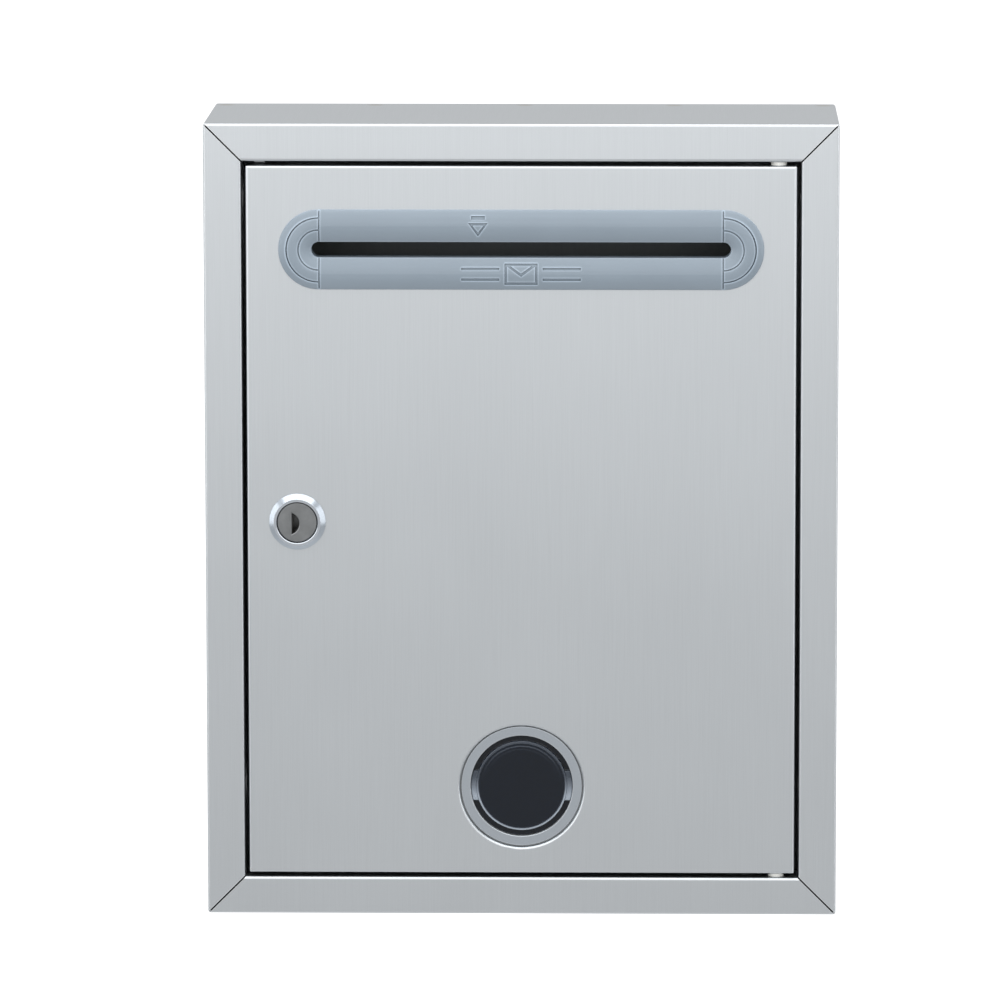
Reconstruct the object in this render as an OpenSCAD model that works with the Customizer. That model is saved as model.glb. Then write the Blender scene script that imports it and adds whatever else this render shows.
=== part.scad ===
// Wall mounted mailbox: a folded sheet casing with a hinged front door, a cam
// lock, a letter slot in a moulded surround and a round viewing window.
// The wall is the plane y = 0, the door faces -Y, and the origin is the centre
// of the back face.

/* [Casing] */
// Overall width of the casing
case_w = 250; // [236:1:320]
// Overall height of the casing
case_h = 316; // [270:1:400]
// Depth from the wall to the face of the door
case_d = 80; // [60:1:120]
// Thickness of the sheet that the casing and door are folded from
sheet_t = 0.8; // [0.6:0.1:1]
// Outside radius of every fold
fold_r = 1.2; // [1.1:0.1:2]
// Width of the flange around the front opening
flange_w = 15; // [12:0.5:20]
// Depth of the lip that is folded back from the flange
lip_d = 15; // [13:0.5:20]
// Width of the slit along each mitred corner of the flange
mitre_gap = 0.6; // [0.2:0.1:0.8]
// Depth of the flange around the back panel
back_lip_d = 12; // [6:0.5:16]

/* [Wall holes] */
// Distance between the wall holes across the back
wall_hole_dx = 180; // [100:1:200]
// Distance between the wall holes up the back
wall_hole_dz = 240; // [150:1:240]
// Diameter of a wall hole
wall_hole_dia = 6; // [4:0.5:8]

/* [Door] */
// Gap between the door and the casing flange all round
door_gap = 1.6; // [1.2:0.1:2.5]
// Depth of the flange around the door
door_lip_d = 12; // [10:0.5:12.5]

/* [Hinge] */
// Distance of the hinge axis from the right edge of the door
hinge_inset = 7.2; // [5:0.1:8]
// Distance of the hinge axis behind the face of the door
hinge_setback = 4.5; // [4:0.1:5]
// Diameter of the hinge pin
pin_dia = 4; // [3:0.1:4.5]
// Diameter of the head of the hinge pin, and of the washer in the door gap
pin_head_dia = 6.4; // [5.5:0.1:7]
// Thickness of the head of the hinge pin
pin_head_t = 1.2; // [0.8:0.1:2]
// Length of pin that stands out behind the door flange
pin_tail = 2.2; // [2:0.1:4]
// Thickness of the clip on the end of the hinge pin
clip_t = 0.6; // [0.4:0.1:0.8]
// Depth of the clip groove in the hinge pin
clip_groove = 0.5; // [0.3:0.1:0.7]

/* [Door stop] */
// Distance of the door stop from the left edge of the door
stop_inset = 5.2; // [4:0.1:40]
// Width of the door stop
stop_w = 4; // [3:0.5:10]
// Length of each leg of the door stop
stop_leg = 7; // [5:0.5:9]

/* [Letter slot] */
// Distance of the slot's centre below the top of the casing
slot_drop = 49.7; // [40:0.1:90]
// Length of the slot between the centres of its round ends
slot_run = 158.8; // [120:0.1:160]
// Height of the slot
slot_h = 6.2; // [5:0.1:10]
// Height of the surround
bezel_h = 31.6; // [28:0.1:40]
// Height of the crest of the surround above the door
bezel_crest = 2.8; // [2:0.1:3]
// Height of the edges of the surround above the door
bezel_edge = 0.9; // [0.6:0.1:1.2]
// Wall of the collar that lines the slot
collar_t = 1.2; // [0.8:0.1:2]
// Depth of the collar behind the face of the door
collar_d = 6; // [3:0.5:10]
// Distance between the two rows of ring grooves on the ends of the surround
groove_step = 4.7; // [3:0.1:5]
// Width of each groove and seam line
groove_w = 0.6; // [0.3:0.1:1]
// Depth of the grooves, seams and signs
groove_d = 0.4; // [0.2:0.1:0.5]
// Distance between the fixing posts along the surround
post_run = 116; // [80:1:118]
// Diameter of a fixing post
post_dia = 3; // [2:0.1:4]
// Length of a fixing post behind the face of the door
post_len = 5; // [3:0.5:8]
// Diameter of the push nut on a fixing post
push_nut_dia = 8; // [6:0.1:9]
// Thickness of the push nut
push_nut_t = 0.6; // [0.4:0.1:1]

/* [Signs on the surround] */
// Place of the arrow along the surround
arrow_x = -16.9; // [-60:0.1:40]
// Width of the arrow
arrow_w = 7.7; // [5:0.1:10]
// Width of the envelope sign
letter_w = 13; // [8:0.1:16]
// Height of the envelope sign
letter_h = 8.4; // [5:0.1:9]
// Length of the dashes beside the envelope sign
dash_len = 15; // [5:0.5:20]
// Width of the lines that draw the signs
sign_line = 1; // [0.6:0.1:1.4]

/* [Window] */
// Height of the window's centre above the bottom of the casing
window_rise = 51.6; // [46:0.1:100]
// Diameter of the pressed recess in the door
recess_dia = 49.2; // [40:0.1:52]
// Depth of the recess
recess_d = 2.8; // [2:0.1:4]
// Width of the ledge around the hole in the floor of the recess
ledge_w = 4.3; // [3:0.1:6]
// Gap between the trim ring and the wall of the recess
trim_gap = 0.6; // [0.3:0.1:1.5]
// Thickness of the trim ring
trim_t = 1.2; // [0.8:0.1:1.8]
// Gap between the hole and the raised face of the lens
lens_gap = 2.3; // [1:0.1:3]
// Thickness of the lens
lens_t = 1; // [0.8:0.1:1.5]
// Height of the raised face above the floor of the recess
lens_proud = 0.7; // [0.2:0.1:1.5]
// Width of the two snap fingers that centre the lens in its hole
finger_w = 12; // [6:0.5:14]
// Depth of the skirt of the ring that holds the lens
skirt_d = 3; // [2:0.1:3]

/* [Lock] */
// Distance of the lock's centre from the left edge of the door
lock_inset = 19.9; // [17:0.1:30]
// Height of the lock's centre above the middle of the casing
lock_z = 0; // [-40:1:50]
// Diameter of the lock's rim at the door
rim_dia = 22.3; // [21:0.1:26]
// Height of the rim above the door
rim_h = 3.2; // [2.6:0.1:4]
// Diameter of the threaded barrel
barrel_dia = 19; // [18:0.1:20]
// Width of the barrel across its two flats
barrel_flats = 16; // [15:0.1:17]
// Diameter of the plug's face
plug_face_dia = 16.3; // [14:0.1:17]
// Diameter of the plug's core
plug_dia = 12; // [12:0.1:13]
// Thickness of the plug's face
plug_face_t = 1.8; // [1.2:0.1:2]
// Height of the key opening
key_h = 8; // [6:0.1:8]
// Width of the key opening
key_w = 2.7; // [2:0.1:2.8]
// Number of wafers
wafers = 6; // [4:1:6]
// Thickness of a wafer
wafer_t = 0.8; // [0.6:0.05:0.9]
// Width of the hexagonal nut across its flats
nut_flats = 22; // [21:0.5:24]
// Thickness of the hexagonal nut
nut_t = 4; // [3:0.5:5]
// Side of the square tail that drives the cam
tail_side = 7; // [6:0.1:8]
// Length of the cam from the axis to its tip
cam_len = 29; // [26:0.5:32]
// Width of the cam
cam_w = 14; // [12:0.5:16]
// Thickness of the cam
cam_t = 2; // [1.5:0.1:2.5]
// Diameter of the cam screw's thread
cam_screw_dia = 4; // [3:0.5:4]
// Length of the cam screw under its head
cam_screw_len = 8; // [6:0.5:9]

/* [Clearances] */
// Running gap around a pin or a turning plug
run_gap = 0.05; // [0.03:0.01:0.1]
// Gap around the face of the lock's plug
plug_gap = 0.3; // [0:0.1:0.5]
// Gap around a part that is put in by hand
fit_gap = 0.3; // [0.2:0.05:0.5]
// Gap between two faces that slide past each other
slide_gap = 0.1; // [0.05:0.05:0.2]
// Gap between the cam and the lip that it hooks behind
hook_gap = 0.5; // [0.3:0.1:1]

/* [Hidden] */
$fn = 64;

steel = "#c3c7ca";
plated = "#d9dde0";
zinc = "#b9b7b0";
grey_plastic = "#93a0aa";
nylon = "#e9e9e4";
brass = "#b8a469";

front = -case_d;
inner_fold_r = fold_r - sheet_t;
open_w = case_w - 2 * flange_w;
open_h = case_h - 2 * flange_w;
door_w = open_w - 2 * door_gap;
door_h = open_h - 2 * door_gap;
door_back = front + sheet_t;
mitre_step = mitre_gap / sqrt(2);

hinge_x = door_w / 2 - hinge_inset;
hinge_y = front + hinge_setback;
clip_gap = 0.3;
clip_z = door_h / 2 - sheet_t - clip_gap - clip_t;
pin_end = door_h / 2 - sheet_t - pin_tail;
clip_mouth = pin_dia - 2 * clip_groove;

slot_z = case_h / 2 - slot_drop;
slot_r = slot_h / 2;
bezel_r = bezel_h / 2;
bar_mid = (bezel_r + slot_r) / 2;
bar_half = (bezel_r - slot_r) / 2;
bar_rise = bezel_crest - bezel_edge;
bar_arc_r = (pow(bar_half, 2) + pow(bar_rise, 2)) / (2 * bar_rise);
collar_r = slot_r + collar_t;
outer_groove_r = bezel_r - 3.2;

window_z = window_rise - case_h / 2;
window_r = recess_dia / 2 - ledge_w;
lens_r = window_r - lens_gap;
recess_floor = front + recess_d;
lens_back = recess_floor + sheet_t;
boss_r = recess_dia / 2 + sheet_t;
ring_hole_r = lens_r - 0.5;

lock_x = lock_inset - door_w / 2;
cam_front = front + lip_d + hook_gap;
stop_washer_t = 1;
barrel_end = cam_front - stop_washer_t - 2 * slide_gap;
cam_back = cam_front + cam_t;
cam_washer_t = 0.8;
plug_face_y = front - rim_h + 0.6;
core_start = plug_face_y + plug_face_t;
key_depth = 11;
key_shift_x = -2;
key_shift_z = -0.5;
key_arc_r = (pow(key_h / 2, 2) + pow(key_w, 2)) / (2 * key_w);
wafer_w = 5;
wafer_h = 10.6;
wafer_pitch = 1.4;
wafer_start = core_start + 1.2;
ear_r = barrel_dia / 2 - 0.3;
ear_angle = 40;
lug_slack = 5;
turn = 90;
stop_disc_r = 7.4;

// Extrudes an outline drawn in x and z from y0 back to y1
module along_y(y0, y1) {
    translate([0, y1, 0]) rotate([90, 0, 0]) linear_extrude(y1 - y0) children();
}

// Turns a profile of radius and height around the Y axis, rising towards -Y
module turned(angle = 360) {
    rotate([90, 0, 0]) rotate_extrude(angle = angle) children();
}

module rounded_rect(w, h, r) {
    square([w - 2 * r, h], center = true);
    square([w, h - 2 * r], center = true);
    for (x = [-1, 1], y = [-1, 1])
        translate([x * (w / 2 - r), y * (h / 2 - r)]) circle(r);
}

// A slot outline with round ends, lying along x
module stadium(run, r) {
    square([run, 2 * r], center = true);
    for (x = [-1, 1]) translate([x * run / 2, 0]) circle(r);
}

// A quarter of a fold in section, in the first quadrant and then turned
module fold(angle) {
    rotate(angle) intersection() {
        difference() {
            circle(fold_r);
            circle(inner_fold_r);
        }
        square(fold_r);
    }
}

// A sheet tube with folded corners
module sheet_tube(w, h, y0, y1) {
    along_y(y0, y1) difference() {
        rounded_rect(w, h, fold_r);
        rounded_rect(w - 2 * sheet_t, h - 2 * sheet_t, inner_fold_r);
    }
}

// Repeats a section on all four sides of a frame, mitred at the corners. The
// section is drawn in x and y with its outer face at x = 0.
module mitred_frame(w, h, reach, step) {
    intersection() {
        along_y(front, 0) rounded_rect(w, h, fold_r);
        for (side = [0:3]) {
            half = (side % 2 == 0 ? w : h) / 2;
            end = (side % 2 == 0 ? h : w) / 2 - step;
            rotate([0, -90 * side, 0]) intersection() {
                linear_extrude(2 * end, center = true) translate([half, 0]) children();
                along_y(front, 0) polygon([[half, end], [half - reach, end - reach],
                    [half - reach, reach - end], [half, -end]]);
            }
        }
    }
}

module wall_holes() {
    for (x = [-1, 1], z = [-1, 1])
        translate([x * wall_hole_dx / 2, z * wall_hole_dz / 2]) circle(d = wall_hole_dia);
}

// Places something drawn at the top hinge, or its mirror image at the bottom
module at_hinge(top) {
    mirror([0, 0, top ? 0 : 1]) translate([hinge_x, hinge_y, 0]) children();
}

module at_lock() {
    translate([lock_x, 0, lock_z]) children();
}

module at_posts() {
    for (x = [-1, 1], z = [-1, 1])
        translate([x * post_run / 2, slot_z + z * bar_mid]) children();
}

// ---- Casing ----

// Flange, its two folds and the lip, in section
module flange_section() {
    translate([-fold_r, front + fold_r]) fold(270);
    translate([fold_r - flange_w, front]) square([flange_w - 2 * fold_r, sheet_t]);
    translate([fold_r - flange_w, front + fold_r]) fold(180);
    translate([-flange_w, front + fold_r]) square([sheet_t, lip_d - fold_r]);
}

module casing_wrap() {
    color(steel) difference() {
        union() {
            sheet_tube(case_w, case_h, front + fold_r, 0);
            mitred_frame(case_w, case_h, flange_w + sheet_t, mitre_step) flange_section();
        }
        for (top = [true, false])
            at_hinge(top) translate([0, 0, open_h / 2 - sheet_t])
                cylinder(r = pin_dia / 2 + run_gap, h = 3 * sheet_t);
    }
}

module back_panel() {
    back_w = case_w - 2 * sheet_t;
    back_h = case_h - 2 * sheet_t;
    color(steel) {
        sheet_tube(back_w, back_h, -back_lip_d, -sheet_t);
        along_y(-sheet_t, 0) difference() {
            rounded_rect(back_w, back_h, fold_r);
            wall_holes();
        }
    }
}

// ---- Hinge ----

module hinge_pin(top) {
    head_z = open_h / 2 + sheet_t;
    groove_z = clip_z - slide_gap / 2;
    color(plated) at_hinge(top) difference() {
        union() {
            translate([0, 0, head_z]) cylinder(d = pin_head_dia, h = pin_head_t);
            translate([0, 0, pin_end]) cylinder(d = pin_dia, h = head_z + pin_head_t - pin_end);
        }
        translate([0, 0, groove_z]) linear_extrude(clip_t + slide_gap) difference() {
            circle(d = pin_dia + 1);
            circle(d = clip_mouth);
        }
    }
}

module hinge_washer(top) {
    color(nylon) at_hinge(top) translate([0, 0, door_h / 2 + slide_gap])
        linear_extrude(door_gap - 2 * slide_gap) difference() {
            circle(d = pin_head_dia);
            circle(r = pin_dia / 2 + run_gap);
        }
}

module pin_clip(top) {
    color(plated) at_hinge(top) translate([0, 0, clip_z]) linear_extrude(clip_t) difference() {
        circle(d = pin_head_dia);
        circle(r = clip_mouth / 2 + run_gap);
        translate([-clip_mouth / 2 + run_gap, 0])
            square([clip_mouth - 2 * run_gap, pin_head_dia]);
    }
}

// An angle piece under the top lip, with one leg behind the door's flange
module door_stop() {
    stop_y = front + door_lip_d + fit_gap;
    color(steel) translate([stop_inset - door_w / 2 - stop_w / 2, 0, open_h / 2]) {
        translate([0, stop_y + sheet_t - stop_leg, -sheet_t]) cube([stop_w, stop_leg, sheet_t]);
        translate([0, stop_y, -stop_leg]) cube([stop_w, sheet_t, stop_leg]);
    }
}

// ---- Door ----

module door_panel() {
    color(steel) difference() {
        union() {
            sheet_tube(door_w, door_h, front + fold_r, front + door_lip_d);
            along_y(front, door_back) square([door_w - 2 * fold_r, door_h - 2 * fold_r], center = true);
            mitred_frame(door_w, door_h, fold_r, 0) translate([-fold_r, front + fold_r]) fold(270);
            along_y(front, lens_back) translate([0, window_z]) circle(boss_r);
        }
        along_y(front - 1, recess_floor) translate([0, window_z]) circle(d = recess_dia);
        along_y(front - 1, lens_back + 1) {
            translate([0, window_z]) circle(window_r);
            translate([0, slot_z]) stadium(slot_run, collar_r + fit_gap);
            at_posts() circle(d = post_dia + fit_gap);
        }
        at_lock() along_y(front - 1, door_back + 1) barrel_outline(slide_gap);
        for (top = [true, false])
            at_hinge(top) translate([0, 0, door_h / 2 - 2 * sheet_t])
                cylinder(r = pin_dia / 2 + 2 * run_gap, h = 3 * sheet_t);
    }
}

// ---- Letter slot ----

// Section of one bar of the surround: radius from the slot's axis, then height
module bar_section(sink) {
    intersection() {
        translate([bar_mid, bezel_crest - bar_arc_r]) circle(bar_arc_r - sink);
        translate([slot_r, 0]) square([bezel_r - slot_r, bezel_crest]);
    }
}

module ring_grooves() {
    for (step = [0, 1])
        translate([outer_groove_r - step * groove_step - groove_w / 2, 0])
            square([groove_w, 2 * bezel_crest]);
}

// The two bars and the two round ends, each with what is cut into its top
module surround_shape(sink, seam) {
    for (side = [0, 180]) rotate([0, side, 0]) {
        rotate([180, -90, 0]) linear_extrude(slot_run - 2 * seam, center = true) bar_section(sink);
        translate([slot_run / 2 + seam, 0, 0]) rotate([0, 90, 0]) turned(180) difference() {
            bar_section(sink);
            if (seam > 0) ring_grooves();
        }
    }
}

// Arrow that points at the slot, with a bar above it
module arrow_sign() {
    inset = sign_line * 1.6;
    translate([arrow_x, slot_r + 2.3]) {
        difference() {
            polygon([[0, 0], [arrow_w / 2, arrow_w * 0.7], [-arrow_w / 2, arrow_w * 0.7]]);
            translate([0, inset]) polygon([[0, 0], [arrow_w / 2 - inset, arrow_w * 0.7 - inset * 1.6],
                [inset - arrow_w / 2, arrow_w * 0.7 - inset * 1.6]]);
        }
        translate([-arrow_w * 0.35, arrow_w * 0.87]) square([arrow_w * 0.7, sign_line * 1.4]);
    }
}

// Sealed envelope between two pairs of dashes
module letter_sign() {
    translate([0, -bar_mid]) {
        difference() {
            square([letter_w, letter_h], center = true);
            square([letter_w - 2 * sign_line, letter_h - 2 * sign_line], center = true);
        }
        for (side = [0, 1]) mirror([side, 0]) {
            polygon([[0, -sign_line], [letter_w / 2 - sign_line, letter_h / 2 - 1.2 * sign_line],
                [letter_w / 2 - sign_line, letter_h / 2], [0, sign_line * 0.3]]);
            for (z = [-1, 1]) translate([letter_w / 2 + 2, z * letter_h / 4 - sign_line / 2])
                square([dash_len, sign_line]);
        }
    }
}

module slot_surround() {
    color(grey_plastic) {
        translate([0, front, slot_z]) {
            surround_shape(groove_d, 0);
            difference() {
                surround_shape(0, groove_w / 2);
                along_y(-2 * bezel_crest, 0) {
                    arrow_sign();
                    letter_sign();
                }
            }
        }
        along_y(front - bezel_edge / 2, front + collar_d) translate([0, slot_z]) difference() {
            stadium(slot_run, collar_r);
            stadium(slot_run, slot_r);
        }
        along_y(front - bezel_edge / 2, front + post_len) at_posts() circle(d = post_dia);
    }
}

module push_nuts() {
    color(plated) along_y(door_back, door_back + push_nut_t) at_posts() difference() {
        circle(d = push_nut_dia);
        circle(r = post_dia / 2 + run_gap);
    }
}

// ---- Window ----

// Flat steel ring that lies on the ledge of the recess
module window_trim() {
    color(steel) along_y(recess_floor - trim_t, recess_floor) translate([0, window_z]) difference() {
        circle(recess_dia / 2 - trim_gap);
        circle(window_r);
    }
}

module window_lens() {
    color([0.2, 0.25, 0.3, 0.6]) translate([0, 0, window_z]) {
        along_y(lens_back, lens_back + lens_t) difference() {
            circle(recess_dia / 2 - 1);
            circle(lens_r - lens_t);
        }
        along_y(recess_floor - lens_proud, lens_back + lens_t) difference() {
            circle(lens_r);
            circle(lens_r - lens_t);
        }
        along_y(recess_floor - lens_proud, recess_floor - lens_proud + lens_t) circle(lens_r);
        along_y(recess_floor - lens_proud / 2, lens_back + lens_t) intersection() {
            difference() {
                circle(window_r - fit_gap / 2);
                circle(lens_r - lens_t / 2);
            }
            square([2 * window_r, finger_w], center = true);
        }
    }
}

// Pressed steel ring that grips the boss behind the recess and holds the lens
module lens_ring() {
    ring_y = lens_back + lens_t;
    color(steel) translate([0, 0, window_z]) {
        along_y(ring_y, ring_y + sheet_t) difference() {
            circle(boss_r + run_gap + sheet_t);
            circle(ring_hole_r);
        }
        along_y(ring_y - skirt_d, ring_y) difference() {
            circle(boss_r + run_gap + sheet_t);
            circle(boss_r + run_gap);
        }
    }
}

// ---- Lock ----

module barrel_outline(gap) {
    intersection() {
        circle(barrel_dia / 2 + gap);
        square([barrel_flats + 2 * gap, barrel_dia + 1], center = true);
    }
}

module rim_section() {
    polygon([[plug_dia / 2 + 1, 0], [rim_dia / 2, 0], [rim_dia / 2, 0.6], [rim_dia / 2 - 1.9, rim_h],
        [plug_face_dia / 2 + 0.4, rim_h], [plug_dia / 2 + 1, rim_h - 0.4]]);
}

// A wedge outline from one angle to another, with its point at the origin
module wedge(from, to, reach) {
    steps = 6;
    polygon(concat([[0, 0]], [for (i = [0:steps]) let (a = from + (to - from) * i / steps)
        [reach * cos(a), reach * sin(a)]]));
}

module lock_housing() {
    color(plated) at_lock() difference() {
        union() {
            translate([0, front, 0]) turned() rim_section();
            along_y(front - 1, barrel_end) barrel_outline(0);
            along_y(barrel_end - 1, barrel_end + stop_washer_t) intersection() {
                barrel_outline(0);
                difference() {
                    circle(d = barrel_dia);
                    circle(stop_disc_r + fit_gap);
                }
                wedge(270 + ear_angle / 2 + lug_slack, 540 - ear_angle / 2 - lug_slack, barrel_dia);
            }
        }
        along_y(front - 2 * rim_h, core_start + slide_gap / 2) circle(r = plug_face_dia / 2 + run_gap);
        along_y(front - 2 * rim_h, barrel_end + stop_washer_t) circle(r = plug_dia / 2 + run_gap);
        along_y(wafer_start - 1, barrel_end + stop_washer_t) square([wafer_w + 1, plug_dia + 2.6], center = true);
    }
}

module lock_tooth_washer() {
    teeth = 12;
    color(plated) at_lock() along_y(door_back, door_back + sheet_t) difference() {
        circle(barrel_dia / 2 + 3);
        circle(barrel_dia / 2 + slide_gap);
        for (i = [0:teeth - 1]) rotate(i * 360 / teeth)
            translate([barrel_dia / 2 + 1.6, -0.6]) square([2, 1.2]);
    }
}

module lock_nut() {
    nut_y = door_back + sheet_t;
    color(plated) at_lock() along_y(nut_y, nut_y + nut_t) difference() {
        circle(d = nut_flats / cos(30), $fn = 6);
        circle(r = barrel_dia / 2 + run_gap);
    }
}

// Half-moon key opening with its straight side to the left
module key_outline(gap) {
    translate([key_shift_x, key_shift_z]) intersection() {
        translate([key_w - key_arc_r, 0]) circle(key_arc_r + gap);
        translate([-gap, -key_h / 2 - gap]) square([key_w + 2 * gap, key_h + 2 * gap]);
    }
}

module lock_plug() {
    color(zinc) at_lock() difference() {
        union() {
            along_y(plug_face_y, core_start) circle(plug_face_dia / 2 - plug_gap);
            along_y(core_start - 1, barrel_end) circle(d = plug_dia);
            along_y(barrel_end - 1, cam_back - slide_gap) square(tail_side, center = true);
        }
        along_y(plug_face_y - 1, plug_face_y + key_depth) key_outline(0);
        for (i = [0:wafers - 1]) let (y = wafer_start + i * wafer_pitch)
            along_y(y, y + wafer_t + slide_gap) square([wafer_w + 2 * slide_gap, plug_dia + 2], center = true);
        along_y(cam_back - cam_screw_len - 1, cam_back) circle(r = cam_screw_dia / 2 + run_gap);
    }
}

module lock_wafers() {
    color(brass) at_lock() for (i = [0:wafers - 1])
        let (y = wafer_start + i * wafer_pitch + slide_gap / 2)
            along_y(y, y + wafer_t) difference() {
                square([wafer_w, wafer_h], center = true);
                key_outline(0.1);
            }
}

module tail_hole() {
    square(tail_side + 2 * slide_gap, center = true);
}

module stop_washer() {
    stop_y = barrel_end + slide_gap;
    color(plated) at_lock() along_y(stop_y, stop_y + stop_washer_t) difference() {
        union() {
            circle(stop_disc_r);
            intersection() {
                circle(ear_r);
                wedge(270 - ear_angle / 2, 270 + ear_angle / 2, barrel_dia);
            }
        }
        tail_hole();
    }
}

module lock_cam() {
    color(plated) at_lock() along_y(cam_front, cam_back) difference() {
        union() {
            circle(d = cam_w + 2);
            translate([-cam_w / 2, cam_w / 2 - cam_len]) square([cam_w, cam_len - cam_w / 2]);
            translate([0, cam_w / 2 - cam_len]) circle(d = cam_w);
        }
        tail_hole();
    }
}

module cam_washer() {
    color(plated) at_lock() along_y(cam_back, cam_back + cam_washer_t) difference() {
        circle(tail_side / 2 + 2);
        circle(r = cam_screw_dia / 2 + slide_gap);
    }
}

module cam_screw() {
    head_y = cam_back + cam_washer_t;
    head_t = 2.4;
    color(plated) at_lock() difference() {
        union() {
            along_y(head_y, head_y + head_t) circle(d = 2 * cam_screw_dia);
            along_y(head_y - cam_screw_len, head_y + 1) circle(d = cam_screw_dia);
        }
        along_y(head_y + head_t / 2, head_y + 2 * head_t) for (a = [0, 90])
            rotate(a) square([1.2 * cam_screw_dia, 0.9], center = true);
    }
}

casing_wrap();
back_panel();
hinge_pin(true);  // hinge_pin_top
hinge_pin(false);  // hinge_pin_bottom
hinge_washer(true);  // hinge_washer_top
hinge_washer(false);  // hinge_washer_bottom
pin_clip(true);  // pin_clip_top
pin_clip(false);  // pin_clip_bottom
door_stop();
door_panel();
slot_surround();
push_nuts();
window_trim();
window_lens();
lens_ring();
lock_housing();
lock_tooth_washer();
lock_nut();
lock_plug();
lock_wafers();
stop_washer();
lock_cam();
cam_washer();
cam_screw();
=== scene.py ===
import math

import bpy
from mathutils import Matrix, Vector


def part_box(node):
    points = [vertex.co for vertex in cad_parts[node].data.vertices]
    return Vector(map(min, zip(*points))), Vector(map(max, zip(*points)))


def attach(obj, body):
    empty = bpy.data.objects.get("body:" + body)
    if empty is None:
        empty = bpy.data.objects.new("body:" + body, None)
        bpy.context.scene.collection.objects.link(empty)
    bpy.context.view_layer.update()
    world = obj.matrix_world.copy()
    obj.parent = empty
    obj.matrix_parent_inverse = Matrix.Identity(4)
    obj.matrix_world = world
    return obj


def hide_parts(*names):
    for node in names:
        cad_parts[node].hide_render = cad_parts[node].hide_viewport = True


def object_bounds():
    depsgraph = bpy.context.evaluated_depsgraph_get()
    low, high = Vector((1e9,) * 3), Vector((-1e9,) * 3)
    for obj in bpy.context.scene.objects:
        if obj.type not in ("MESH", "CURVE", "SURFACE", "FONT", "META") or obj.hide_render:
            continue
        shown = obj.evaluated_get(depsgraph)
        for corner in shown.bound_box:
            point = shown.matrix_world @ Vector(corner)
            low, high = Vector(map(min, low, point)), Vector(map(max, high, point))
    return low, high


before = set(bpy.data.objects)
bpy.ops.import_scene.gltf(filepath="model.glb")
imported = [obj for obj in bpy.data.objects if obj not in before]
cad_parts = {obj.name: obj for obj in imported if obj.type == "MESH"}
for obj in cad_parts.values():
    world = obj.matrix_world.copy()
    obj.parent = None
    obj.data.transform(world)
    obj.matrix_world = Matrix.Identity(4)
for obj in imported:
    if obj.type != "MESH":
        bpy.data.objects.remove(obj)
cad_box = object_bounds()

MM = 0.001

# ---- Casing wrap ----
# One strip of 0.8 mm stainless steel with a fine vertical brushed finish. It
# is folded into the walls, and its front flange is mitred at the corners and
# turned back into a lip inside the opening. The cut edges are deburred.


def linear(code):
    """Turns an sRGB hex colour into linear light for a shader."""
    channels = [int(code[i:i + 2], 16) / 255 for i in (1, 3, 5)]
    return [c / 12.92 if c <= 0.04045 else ((c + 0.055) / 1.055) ** 2.4 for c in channels] + [1]


def shade(code, amount):
    """The same colour with its light times an amount, 1 at most."""
    return [min(1, c * amount) for c in linear(code)[:3]] + [1]


def add(tree, kind, inputs=None, **settings):
    """Adds a node with its settings, and sets or links each named input."""
    made = tree.nodes.new(kind)
    for key, value in settings.items():
        setattr(made, key, value)
    for key, value in (inputs or {}).items():
        if isinstance(value, bpy.types.NodeSocket):
            tree.links.new(value, made.inputs[key])
        else:
            made.inputs[key].default_value = value
    return made


def material(name):
    """A new empty material with its tree and its output."""
    made = bpy.data.materials.new(name)
    made.use_nodes = True
    made.node_tree.nodes.clear()
    return made, made.node_tree, made.node_tree.nodes.new("ShaderNodeOutputMaterial")


def paint_corner_shade(tree, colour, shade_tone, reach, closed, clear, left=0, **sampling):
    """The colour with painted shade in its corners, where other faces stand within a
    reach in mm. Closed and clear are the parts of open space that a point
    sees where the painted shade is thickest and where it ends, and left is the
    part of the colour that shows through the thickest shade."""
    space = add(tree, "ShaderNodeAmbientOcclusion", {"Distance": reach * MM}, **sampling)
    unshaded = add(tree, "ShaderNodeMapRange", {"Value": space.outputs["AO"], "From Min": closed,
                                             "From Max": clear, "To Min": left})
    return add(tree, "ShaderNodeMix", {"Factor": unshaded.outputs[0], 6: shade_tone, 7: colour},
               data_type="RGBA").outputs[2]


def rub_and_highlight_edges(tree, colour, bright, reach, sharp, flat, most, samples):
    """The colour, brightened along the outer edges: partly wear, where hands
    and cloths rub it, and partly a painted highlight. Sharp and flat are the
    parts of a reach in mm under a point that are solid where the brightening
    is strongest and where it ends, and most is the strongest."""
    solid = add(tree, "ShaderNodeAmbientOcclusion", {"Distance": reach * MM}, samples=samples,
                inside=True, only_local=True)
    rub_and_highlight = add(tree, "ShaderNodeMapRange", {"Value": solid.outputs["AO"], "From Min": sharp,
                                              "From Max": flat, "To Min": most, "To Max": 0})
    return add(tree, "ShaderNodeMix", {"Factor": rub_and_highlight.outputs[0], 6: colour, 7: bright},
               data_type="RGBA").outputs[2]


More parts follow.
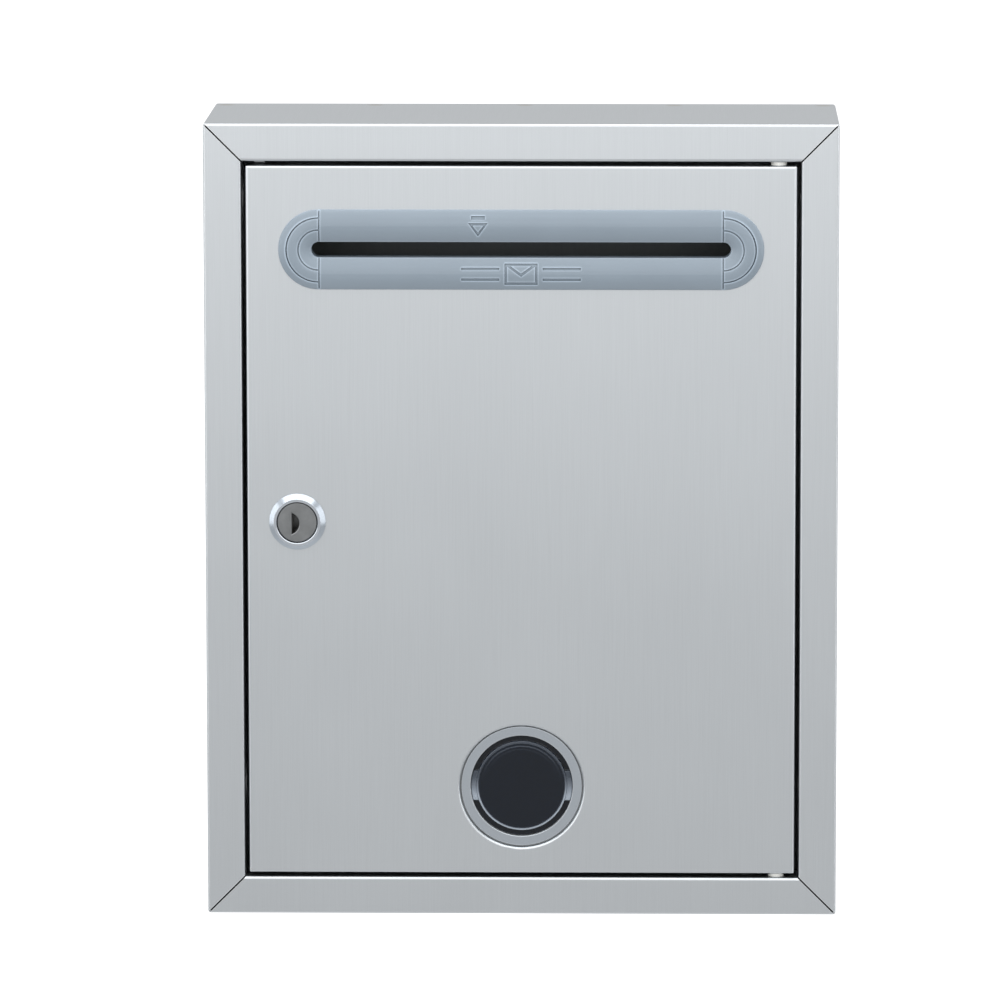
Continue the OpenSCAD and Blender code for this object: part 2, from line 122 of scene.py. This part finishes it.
def brushed_stainless(name, tone, rough, width=0.12, length=30, weld_y=None):
    """Brushed stainless sheet: a soft grey sheen with fine streaks. The brush
    marks have a width and length in mm, wider than real ones so that they
    show. They run up the upright faces, and front to back across the level
    ones. Spot welds can follow a line at one depth, where a second sheet is
    joined: a shallow dent in a straw-coloured halo."""
    made, tree, out = material(name)
    coords = add(tree, "ShaderNodeTexCoord")
    place = coords.outputs["Object"]
    facing = add(tree, "ShaderNodeSeparateXYZ", {"Vector": coords.outputs["Normal"]})
    tilt = add(tree, "ShaderNodeMath", {0: facing.outputs["Z"]}, operation="ABSOLUTE")
    level_above = 0.8
    level = add(tree, "ShaderNodeMath", {0: tilt.outputs[0], 1: level_above},
                operation="GREATER_THAN")
    narrow, long = 1 / (width * MM), 1 / (length * MM)
    upright = add(tree, "ShaderNodeMapping", {"Vector": place, "Scale": (narrow, narrow, long)})
    across = add(tree, "ShaderNodeMapping", {"Vector": place, "Scale": (narrow, long, narrow)})
    marks = add(tree, "ShaderNodeMix", {"Factor": level.outputs[0], 4: upright.outputs[0],
                                        5: across.outputs[0]}, data_type="VECTOR")
    streaks = add(tree, "ShaderNodeTexNoise", {"Vector": marks.outputs[1], "Scale": 1,
                                               "Detail": 3, "Roughness": 0.6})
    cloud = add(tree, "ShaderNodeTexNoise", {"Vector": place, "Scale": 1 / (70 * MM),
                                             "Detail": 2, "Roughness": 0.5})
    scuff = add(tree, "ShaderNodeTexNoise", {"Vector": place, "Scale": 1 / (6 * MM),
                                             "Detail": 6, "Roughness": 0.7})
    wear = add(tree, "ShaderNodeMapRange", {"Value": scuff.outputs["Fac"], "From Min": 0.62,
                                            "From Max": 0.8, "To Max": 0.06})
    tint = add(tree, "ShaderNodeMapRange", {"Value": streaks.outputs["Fac"],
                                            "From Min": 0.3, "From Max": 0.7,
                                            "To Min": 0.2, "To Max": 0.8})
    colour = add(tree, "ShaderNodeMix", {"Factor": tint.outputs[0], 6: shade(tone, 0.95),
                                         7: shade(tone, 1.05)}, data_type="RGBA")
    # Painted shade darkens the corners and the gaps between parts, and the outer edges are brightened,
    # partly as wear and partly as a painted highlight.
    corner_shaded = paint_corner_shade(tree, colour.outputs[2], linear("#1c1d1e"), reach=3, closed=0.1,
                          clear=0.55, left=0.25, samples=6)
    edge_highlit = rub_and_highlight_edges(tree, corner_shaded, linear("#eef0f2"), reach=0.5, sharp=0.5, flat=0.95,
                        most=0.7, samples=6)
    soft = add(tree, "ShaderNodeMapRange", {"Value": cloud.outputs["Fac"], "To Min": rough - 0.03,
                                            "To Max": rough + 0.03})
    finish = add(tree, "ShaderNodeMath", {0: soft.outputs[0], 1: wear.outputs[0]})
    bump = add(tree, "ShaderNodeBump", {"Height": streaks.outputs["Fac"], "Strength": 0.05,
                                        "Distance": 0.05 * MM})
    shader = add(tree, "ShaderNodeBsdfPrincipled", {"Base Color": edge_highlit, "Metallic": 1,
                                                    "Roughness": finish.outputs[0],
                                                    "Normal": bump.outputs[0]})
    if weld_y is not None:
        weld_pitch = 60 * MM
        weld_r = 2 * MM
        weld_edge = 0.3 * MM
        halo_r = 4 * MM
        axes = add(tree, "ShaderNodeSeparateXYZ", {"Vector": place})
        along = add(tree, "ShaderNodeMix", {"Factor": level.outputs[0], 2: axes.outputs["Z"],
                                            3: axes.outputs["X"]}, data_type="FLOAT")
        step = add(tree, "ShaderNodeMath", {0: along.outputs[0], 1: weld_pitch / 2},
                   operation="PINGPONG")
        back = add(tree, "ShaderNodeMath", {0: axes.outputs["Y"], 1: weld_y}, operation="SUBTRACT")
        spot = add(tree, "ShaderNodeCombineXYZ", {"X": step.outputs[0], "Y": back.outputs[0]})
        reach = add(tree, "ShaderNodeVectorMath", {0: spot.outputs[0]}, operation="LENGTH")
        pit = add(tree, "ShaderNodeMapRange", {"Value": reach.outputs["Value"],
                                               "From Min": weld_r - weld_edge,
                                               "From Max": weld_r + weld_edge})
        halo = add(tree, "ShaderNodeMapRange", {"Value": reach.outputs["Value"],
                                                "From Min": weld_r, "From Max": halo_r,
                                                "To Min": 0.3, "To Max": 0})
        straw = add(tree, "ShaderNodeMix", {"Factor": halo.outputs[0], 6: edge_highlit,
                                            7: linear("#a89878")}, data_type="RGBA")
        dent = add(tree, "ShaderNodeBump", {"Height": pit.outputs[0], "Strength": 0.6,
                                            "Distance": 0.15 * MM, "Normal": bump.outputs[0]})
        tree.links.new(straw.outputs[2], shader.inputs["Base Color"])
        tree.links.new(dent.outputs[0], shader.inputs["Normal"])
    tree.links.new(shader.outputs[0], out.inputs[0])
    return made


def select_only(piece):
    """Leaves just this piece selected and active."""
    bpy.ops.object.select_all(action="DESELECT")
    piece.select_set(True)
    bpy.context.view_layer.objects.active = piece


def settle_normals(piece, limit=35):
    """Smooths the piece between its sharp edges, and keeps flat faces flat."""
    select_only(piece)
    if piece.data.has_custom_normals:
        bpy.ops.mesh.customdata_custom_splitnormals_clear()
    bpy.ops.object.shade_smooth_by_angle(angle=math.radians(limit))
    flatten = piece.modifiers.new("flat faces", "WEIGHTED_NORMAL")
    flatten.weight = 100
    flatten.keep_sharp = True
    bpy.ops.object.modifier_apply(modifier=flatten.name)


def bevel_edges(piece, width, segments=2, limit=35):
    """Rounds the piece's sharp edges by a width in mm, and smooths what lies
    between them."""
    select_only(piece)
    soften = piece.modifiers.new("edges", "BEVEL")
    soften.width = width * MM
    soften.segments = segments
    soften.limit_method = "ANGLE"
    soften.angle_limit = math.radians(limit)
    bpy.ops.object.modifier_apply(modifier=soften.name)
    settle_normals(piece, limit)


def merged_copy(node, name, body, finish):
    """A new piece from a node's solid, with its triangles joined up into
    plain faces, so that its edges can be worked on."""
    piece = bpy.data.objects.new(name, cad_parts[node].data.copy())
    bpy.context.scene.collection.objects.link(piece)
    select_only(piece)
    bpy.ops.object.mode_set(mode="EDIT")
    bpy.ops.mesh.select_all(action="SELECT")
    bpy.ops.mesh.remove_doubles(threshold=0.001 * MM)
    bpy.ops.mesh.dissolve_limited(angle_limit=math.radians(0.4))
    bpy.ops.object.mode_set(mode="OBJECT")
    if piece.data.has_custom_normals:
        bpy.ops.mesh.customdata_custom_splitnormals_clear()
    piece.data.materials.clear()
    piece.data.materials.append(finish)
    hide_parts(node)
    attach(piece, body)
    return piece


def middle(node):
    """The middle of a node's box."""
    low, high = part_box(node)
    return [(a + b) / 2 for a, b in zip(low, high)]


sheet_tone = "#d3d7da"
sheet_rough = 0.36
sheet_deburr = 0.12
sheet_steel = brushed_stainless("brushed stainless sheet", sheet_tone, sheet_rough)
welded_steel = brushed_stainless("brushed stainless sheet with spot welds", sheet_tone, sheet_rough,
                                 weld_y=middle("back_panel")[1])
wrap = merged_copy("casing_wrap", "wrap_folded_sheet", "casing", welded_steel)
bevel_edges(wrap, sheet_deburr)

# ---- Back panel ----
# A folded pan of dull mill-finish sheet, spot-welded inside the wrap. Its four
# punched holes take the wall screws. The rolling marks run up the panel, and
# are wider than brush marks.
# Its darker tone is partly the duller mill finish and partly painted shade for the inside of the box,
# seen through the slot.
shaded_mill_steel = brushed_stainless("mill finish stainless sheet", "#8b8f92", 0.45, width=0.4)
pan = merged_copy("back_panel", "back_folded_pan", "casing", shaded_mill_steel)
bevel_edges(pan, sheet_deburr)

# ---- Door stop ----
# A small angle of cut and folded sheet, welded under the top lip of the casing.
# The flange around the door comes to rest against it.
stop = merged_copy("door_stop", "stop_angle", "casing", sheet_steel)
bevel_edges(stop, sheet_deburr)

# ---- Hinges ----
# Two headed pins of zinc plated steel, each with an E-clip, and a turned
# natural nylon washer that carries the door in its gap.


def tumbled_metal(name, tone, rough, stain=0.85, pit=2):
    """Small metal parts, tumbled in a barrel to plate or polish them: bright,
    with a soft grain. Stain is the part of the light that their darker clouds
    keep, and pit is how far in mm painted shade reaches out of their corners."""
    made, tree, out = material(name)
    place = add(tree, "ShaderNodeTexCoord").outputs["Object"]
    grain = add(tree, "ShaderNodeTexNoise", {"Vector": place, "Scale": 1 / (0.8 * MM), "Detail": 4})
    cloud = add(tree, "ShaderNodeTexNoise", {"Vector": place, "Scale": 1 / (5 * MM), "Detail": 2})
    colour = add(tree, "ShaderNodeMix", {"Factor": cloud.outputs["Fac"], 6: shade(tone, stain),
                                         7: linear(tone)}, data_type="RGBA")
    # Painted shade in the corners and holes.
    corner_shaded = paint_corner_shade(tree, colour.outputs[2], linear("#141414"), reach=pit, closed=0.1,
                          clear=0.7, left=0.12, samples=6)
    soft = add(tree, "ShaderNodeMapRange", {"Value": grain.outputs["Fac"], "To Min": rough - 0.06,
                                            "To Max": rough + 0.06})
    bump = add(tree, "ShaderNodeBump", {"Height": grain.outputs["Fac"], "Strength": 0.08,
                                        "Distance": 0.03 * MM})
    shader = add(tree, "ShaderNodeBsdfPrincipled", {"Base Color": corner_shaded, "Metallic": 1,
                                                    "Roughness": soft.outputs[0],
                                                    "Normal": bump.outputs[0]})
    tree.links.new(shader.outputs[0], out.inputs[0])
    return made


def moulded(name, tone, rough, grit, depth):
    """Moulded plastic: an even colour and a dull shine, with the fine
    spark-eroded grain of the mould. The grit is given in mm, coarser than the
    real one so that it shows. Painted shade darkens the corners, and a painted
    highlight brightens the edges."""
    made, tree, out = material(name)
    place = add(tree, "ShaderNodeTexCoord").outputs["Object"]
    grain = add(tree, "ShaderNodeTexNoise", {"Vector": place, "Scale": 1 / (grit * MM),
                                             "Detail": 3, "Roughness": 0.6})
    cloud = add(tree, "ShaderNodeTexNoise", {"Vector": place, "Scale": 1 / (18 * MM), "Detail": 3})
    colour = add(tree, "ShaderNodeMix", {"Factor": cloud.outputs["Fac"], 6: shade(tone, 0.96),
                                         7: shade(tone, 1.04)}, data_type="RGBA")
    # Painted shade in the grooves and corners, and a painted highlight along the edges.
    corner_shaded = paint_corner_shade(tree, colour.outputs[2], shade(tone, 0.3), reach=0.9, closed=0.35,
                          clear=0.9, samples=8, only_local=True)
    edge_highlit = rub_and_highlight_edges(tree, corner_shaded, shade(tone, 1.75), reach=0.8, sharp=0.55, flat=0.97,
                        most=1, samples=8)
    soft = add(tree, "ShaderNodeMapRange", {"Value": cloud.outputs["Fac"], "To Min": rough - 0.04,
                                            "To Max": rough + 0.04})
    bump = add(tree, "ShaderNodeBump", {"Height": grain.outputs["Fac"], "Strength": depth,
                                        "Distance": 0.04 * MM})
    shader = add(tree, "ShaderNodeBsdfPrincipled", {"Base Color": edge_highlit,
                                                    "Roughness": soft.outputs[0],
                                                    "Specular IOR Level": 0.5,
                                                    "Normal": bump.outputs[0]})
    tree.links.new(shader.outputs[0], out.inputs[0])
    return made


# Zinc shines slightly blue, and natural nylon is milky white.
bright_zinc = tumbled_metal("bright zinc plated steel", "#cdd2d8", 0.28)
natural_nylon = moulded("natural nylon", "#e6e6de", 0.45, grit=0.3, depth=0.05)
for end in ("top", "bottom"):
    pin = merged_copy(f"hinge_pin_{end}", f"pivot_{end}", "casing", bright_zinc)
    bevel_edges(pin, 0.15)
    clip = merged_copy(f"pin_clip_{end}", f"pivot_clip_{end}", "casing",
                       bright_zinc)
    bevel_edges(clip, 0.06)
    washer = merged_copy(f"hinge_washer_{end}", f"pivot_washer_{end}", "casing",
                         natural_nylon)
    bevel_edges(washer, 0.12)

# ---- Door panel ----
# A folded pan of the same brushed sheet. The slot, lock and post holes are
# punched, and the round recess is pressed, which rolls its rim over.
door = merged_copy("door_panel", "door_folded_pan", "door", sheet_steel)
door_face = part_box("door_panel")[0][1]
trim_gap = 0.6 * MM      # between the window's trim ring and the wall of the recess
trim_low, trim_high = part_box("window_trim")
window_middle = middle("window_trim")
recess_r = (trim_high[0] - trim_low[0]) / 2 + trim_gap


def off_axis(point, centre):
    """How far a point lies from the line that runs front to back through a
    centre."""
    return math.hypot(point[0] - centre[0], point[2] - centre[2])


def select_edges(piece, wanted):
    """In edit mode, selects only the edges whose two ends pass the test."""
    bpy.ops.mesh.select_mode(type="EDGE")
    bpy.ops.mesh.select_all(action="DESELECT")
    bpy.ops.object.mode_set(mode="OBJECT")
    points = piece.data.vertices
    for edge in piece.data.edges:
        edge.select = all(wanted(points[i].co) for i in edge.vertices)
    bpy.ops.object.mode_set(mode="EDIT")


def round_edges(piece, wanted, width, segments):
    """Rounds only the edges whose two ends pass the test, by a width in mm."""
    select_only(piece)
    bpy.ops.object.mode_set(mode="EDIT")
    select_edges(piece, wanted)
    bpy.ops.mesh.bevel(offset=width * MM, segments=segments, profile=0.5, affect="EDGES")
    bpy.ops.object.mode_set(mode="OBJECT")


def at_depth(point, depth):
    """Whether a point lies in the upright plane at a depth."""
    return abs(point[1] - depth) < 0.01 * MM


def at_radius(point, centre, radius):
    """Whether a point lies at a radius from the line through a centre."""
    return abs(off_axis(point, centre) - radius) < 0.05 * MM


def on_recess_rim(point):
    return at_depth(point, door_face) and at_radius(point, window_middle, recess_r)


round_edges(door, on_recess_rim, 0.9, segments=4)
bevel_edges(door, sheet_deburr)

# ---- Letter slot surround ----
# Blue-grey ABS moulded in one piece, with two pillowed bars, ringed ends and
# sunk signs. Four posts go through the door and take push nuts behind it.
blue_grey_abs = moulded("blue grey ABS", "#8a96a1", 0.3, grit=0.25, depth=0.06)
surround = merged_copy("slot_surround", "surround_moulding", "door", blue_grey_abs)
surround_low, surround_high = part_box("slot_surround")
surround_z = middle("slot_surround")[2]
end_r = (surround_high[2] - surround_low[2]) / 2
end_x = surround_high[0] - end_r
foot_h = 0.5 * MM        # below this height above the door, the outline stays sharp
outline_slack = 0.05 * MM


def on_outer_edge(point):
    reach = math.hypot(max(abs(point[0]) - end_x, 0), point[2] - surround_z)
    return point[1] < door_face - foot_h and reach > end_r - outline_slack


round_edges(surround, on_outer_edge, 0.5, segments=4)
bevel_edges(surround, 0.1, limit=25)
nuts = merged_copy("push_nuts", "post_push_nuts", "door", bright_zinc)
bevel_edges(nuts, 0.08)

# ---- Window ----
# A flat steel trim ring lies in the recess around a clear moulded lens with a
# raised face and two snap fingers. A pressed steel ring holds it from behind.


def clear_plastic(name, tone, centre, face_r):
    """Clear polycarbonate, polished by its mould, with faint flow marks: as
    dark as the box behind it, with a soft shine. A pale glow is painted on
    the moulded step round the raised face, strongest at the bottom, and
    fine bright circles inside it near the top are painted reflections of
    the light above. Both are on the front side only."""
    made, tree, out = material(name)
    place = add(tree, "ShaderNodeTexCoord").outputs["Object"]
    flow = add(tree, "ShaderNodeTexNoise", {"Vector": place, "Scale": 1 / (9 * MM), "Detail": 2})
    bump = add(tree, "ShaderNodeBump", {"Height": flow.outputs["Fac"], "Strength": 0.12,
                                        "Distance": 0.15 * MM})
    soft = add(tree, "ShaderNodeMapRange", {"Value": flow.outputs["Fac"], "To Min": 0.03,
                                            "To Max": 0.09})
    axes = add(tree, "ShaderNodeSeparateXYZ", {"Vector": place})
    away_x = add(tree, "ShaderNodeMath", {0: axes.outputs["X"], 1: centre[0]}, operation="SUBTRACT")
    away_z = add(tree, "ShaderNodeMath", {0: axes.outputs["Z"], 1: centre[2]}, operation="SUBTRACT")
    away = add(tree, "ShaderNodeCombineXYZ", {"X": away_x.outputs[0], "Z": away_z.outputs[0]})
    reach = add(tree, "ShaderNodeVectorMath", {0: away.outputs[0]}, operation="LENGTH")
    front = add(tree, "ShaderNodeMath", {0: axes.outputs["Y"], 1: centre[1]}, operation="LESS_THAN")
    step = add(tree, "ShaderNodeMapRange", {"Value": reach.outputs["Value"],
                                            "From Min": face_r - 1.1 * MM,
                                            "From Max": face_r - 0.5 * MM})
    foot = add(tree, "ShaderNodeMapRange", {"Value": away_z.outputs[0], "From Min": -4 * MM,
                                            "From Max": 4 * MM, "To Min": 0.9, "To Max": 0.3})
    step_glow = add(tree, "ShaderNodeMath", {0: step.outputs[0], 1: foot.outputs[0]}, operation="MULTIPLY")
    crown = add(tree, "ShaderNodeMapRange", {"Value": away_z.outputs[0], "From Min": 2 * MM,
                                             "From Max": 14 * MM, "To Max": 0.35})
    inner = add(tree, "ShaderNodeMapRange", {"Value": reach.outputs["Value"],
                                             "From Min": face_r - 4 * MM,
                                             "From Max": face_r - 2 * MM})
    ring_pitch = 1.3 * MM
    turns = add(tree, "ShaderNodeMath", {0: reach.outputs["Value"], 1: math.tau / ring_pitch},
                operation="MULTIPLY")
    wave = add(tree, "ShaderNodeMath", {0: turns.outputs[0]}, operation="SINE", use_clamp=True)
    rings = add(tree, "ShaderNodeMath", {0: wave.outputs[0], 1: crown.outputs[0]},
                operation="MULTIPLY")
    arcs = add(tree, "ShaderNodeMath", {0: rings.outputs[0], 1: inner.outputs[0]},
               operation="MULTIPLY")
    both = add(tree, "ShaderNodeMath", {0: step_glow.outputs[0], 1: arcs.outputs[0]},
               operation="MAXIMUM")
    lit = add(tree, "ShaderNodeMath", {0: both.outputs[0], 1: front.outputs[0]},
              operation="MULTIPLY")
    # Painted light: a pale glow on the step and bright reflected circles near the top.
    colour = add(tree, "ShaderNodeMix", {"Factor": lit.outputs[0], 6: linear(tone),
                                         7: linear("#c0cad6")}, data_type="RGBA")
    clear = add(tree, "ShaderNodeMapRange", {"Value": lit.outputs[0], "To Min": 0.9, "To Max": 0.2})
    shader = add(tree, "ShaderNodeBsdfPrincipled", {"Base Color": colour.outputs[2],
                                                    "Roughness": soft.outputs[0], "IOR": 1.5,
                                                    "Specular IOR Level": 0.28,
                                                    "Transmission Weight": clear.outputs[0],
                                                    "Normal": bump.outputs[0]})
    tree.links.new(shader.outputs[0], out.inputs[0])
    return made


lens_face_r = 18 * MM
smoked_clear = clear_plastic("clear polycarbonate", "#2f4058", middle("window_lens"), lens_face_r)
lens = merged_copy("window_lens", "lens_moulding", "door", smoked_clear)
bevel_edges(lens, 0.35, segments=3)
# The trim ring is polished, with short fine scratches and no run of the grain.
trim_steel = brushed_stainless("polished stainless ring", "#ccd3da", 0.24, width=0.3, length=0.3)
trim = merged_copy("window_trim", "window_trim_ring", "door", trim_steel)
bevel_edges(trim, 0.2, segments=3)
ring = merged_copy("lens_ring", "lens_pressed_ring", "door", sheet_steel)
bevel_edges(ring, 0.15)

# ---- Lock ----
# A cam lock: chrome plated rim and barrel, a satin nickel plug with a
# half-moon key opening, and a zinc plated nut, washers, cam and screw.


def chrome(name, tone, rough):
    """Chrome plate: mirror bright, with faint polishing haze and painted shade
    in its corners."""
    made, tree, out = material(name)
    place = add(tree, "ShaderNodeTexCoord").outputs["Object"]
    haze = add(tree, "ShaderNodeTexNoise", {"Vector": place, "Scale": 1 / (3 * MM), "Detail": 5})
    soft = add(tree, "ShaderNodeMapRange", {"Value": haze.outputs["Fac"], "To Min": rough * 0.6,
                                            "To Max": rough * 1.5})
    # Painted shade in the corners, such as the gap round the plug.
    corner_shaded = paint_corner_shade(tree, linear(tone), linear("#2a3038"), reach=1.5, closed=0.3,
                          clear=0.85, left=0.08, samples=6)
    shader = add(tree, "ShaderNodeBsdfPrincipled", {"Base Color": corner_shaded, "Metallic": 1,
                                                    "Roughness": soft.outputs[0]})
    tree.links.new(shader.outputs[0], out.inputs[0])
    return made


# The nickel is a dull grey, stained by use, and the brass of the wafers is
# warm and bright.
chrome_plate = chrome("chrome plate", "#e3e9f0", 0.1)
# On the plug the painted shade reaches further, into its key opening and rim gap.
satin_nickel = tumbled_metal("satin nickel plated zinc", "#999b9c", 0.4, stain=0.6, pit=3)
stamped_brass = tumbled_metal("stamped brass", "#c9a868", 0.3)

housing = merged_copy("lock_housing", "lock_rim_and_barrel", "door", chrome_plate)
bevel_edges(housing, 0.2, segments=3)
lock_middle = middle("lock_housing")
barrel_r = 9.5 * MM
thread_turns = 8
half_pitch = 0.75 * MM
root_scale = 0.97        # radius at the foot of the thread, as a part of the barrel's
plain_tip = 1.5 * MM
thread_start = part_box("lock_housing")[1][1] - plain_tip - 2 * thread_turns * half_pitch


def on_thread_root(point):
    step = (point[1] - thread_start) / half_pitch
    at_root = 0.5 < step < 2 * thread_turns and abs(step % 2 - 1) < 0.02
    return at_root and at_radius(point, lock_middle, barrel_r)


# The thread: the barrel is cut at every crest and root, and the roots are
# drawn in.
bpy.ops.object.mode_set(mode="EDIT")
for i in range(2 * thread_turns + 1):
    bpy.ops.mesh.select_all(action="SELECT")
    bpy.ops.mesh.bisect(plane_co=(0, thread_start + i * half_pitch, 0), plane_no=(0, 1, 0))
select_edges(housing, on_thread_root)
bpy.ops.transform.resize(value=(root_scale, 1, root_scale),
                         center_override=(lock_middle[0], 0, lock_middle[2]))
bpy.ops.object.mode_set(mode="OBJECT")
settle_normals(housing)

plug = merged_copy("lock_plug", "lock_plug_casting", "lock_cylinder", satin_nickel)
plug_low, plug_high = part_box("lock_plug")
plug_middle = middle("lock_plug")
plug_r = (plug_high[0] - plug_low[0]) / 2
key_reach = 0.75 * plug_r


def on_plug_rim(point):
    return at_depth(point, plug_low[1]) and at_radius(point, plug_middle, plug_r)


def on_key_edge(point):
    return at_depth(point, plug_low[1]) and off_axis(point, plug_middle) < key_reach


round_edges(plug, on_plug_rim, 0.35, segments=3)
round_edges(plug, on_key_edge, 0.6, segments=3)
bevel_edges(plug, 0.06)
wafers = merged_copy("lock_wafers", "lock_wafer_stack", "lock_cylinder", stamped_brass)
bevel_edges(wafers, 0.05)
for node, body in (("lock_tooth_washer", "door"), ("lock_nut", "door"),
                   ("stop_washer", "lock_cylinder"), ("lock_cam", "lock_cylinder"),
                   ("cam_washer", "lock_cylinder"), ("cam_screw", "lock_cylinder")):
    piece = merged_copy(node, f"plated_{node}", body, bright_zinc)
    bevel_edges(piece, 0.12)

# ---- Studio ----
# A pale floor well below the box that glows far behind it, a wide soft light
# in front and above, one overhead, one at each side, and an even surround.
# Distances are in metres.
floor_drop = 1.4
floor_side = 60
glow_start = 1.0
glow_full = 6.0
bpy.ops.object.select_all(action="DESELECT")
bpy.ops.mesh.primitive_plane_add(size=floor_side, location=(0, 0, cad_box[0][2] - floor_drop))
floor = bpy.context.object
floor.name = "studio_floor"
bpy.ops.object.transform_apply(location=True)
paper, paper_tree, paper_out = material("white paper")
paper_place = add(paper_tree, "ShaderNodeTexCoord").outputs["Object"]
paper_axes = add(paper_tree, "ShaderNodeSeparateXYZ", {"Vector": paper_place})
paper_glow = add(paper_tree, "ShaderNodeMapRange", {"Value": paper_axes.outputs["Y"],
                                                    "From Min": glow_start,
                                                    "From Max": glow_full,
                                                    "To Max": 0.75}, interpolation_type="SMOOTHSTEP")
paper_shader = add(paper_tree, "ShaderNodeBsdfPrincipled", {"Base Color": linear("#e8e8e8"),
                                                            "Roughness": 0.9,
                                                            "Emission Color": linear("#ffffff"),
                                                            "Emission Strength": paper_glow.outputs[0]})
paper_tree.links.new(paper_shader.outputs[0], paper_out.inputs[0])
floor.data.materials.append(paper)

world = bpy.data.worlds.new("studio")
bpy.context.scene.world = world
world.use_nodes = True
world.node_tree.nodes["Background"].inputs["Color"].default_value = linear("#f4f5f6")
world.node_tree.nodes["Background"].inputs["Strength"].default_value = 0.68


def softbox(name, place, aim, width, height, watts):
    """A soft light of a width and height in metres, aimed at a point."""
    lamp = bpy.data.lights.new(name, "AREA")
    lamp.shape = "RECTANGLE"
    lamp.size = width
    lamp.size_y = height
    lamp.energy = watts
    holder = bpy.data.objects.new(name, lamp)
    bpy.context.scene.collection.objects.link(holder)
    holder.location = place
    reach = [a - p for a, p in zip(aim, place)]
    flat = math.hypot(reach[0], reach[1])
    holder.rotation_euler = (math.atan2(flat, -reach[2]), 0, math.atan2(-reach[0], reach[1]))


softbox("front_light", (-0.3, -1.5, 0.75), (-0.1, 0, 0.35), width=3.0, height=1.6, watts=13)
softbox("top_light", (0.0, -0.5, 1.5), (0, 0, 0), width=2.6, height=1.4, watts=18)
softbox("left_light", (-1.6, -0.8, 0.3), (0, 0, 0), width=0.7, height=1.4, watts=4.5)
softbox("right_light", (1.6, -0.8, 0.3), (0, 0, 0), width=0.7, height=1.4, watts=4.5)

# A long lens in front of the box, above it and a little to its right, looks
# slightly down.
camera_down = 8.292
camera_left = 0.905
camera = bpy.data.objects.new("camera", bpy.data.cameras.new("camera"))
bpy.context.scene.collection.objects.link(camera)
camera.location = (0.060, -2.883, 0.441)
camera.rotation_euler = (math.radians(90 - camera_down), 0, math.radians(camera_left))
camera.data.sensor_width = 36
camera.data.lens = 258.1
camera.data.shift_x = -0.06
camera.data.shift_y = -0.06
camera.data.clip_end = 200
bpy.context.scene.camera = camera
bpy.context.scene.view_settings.view_transform = "Standard"
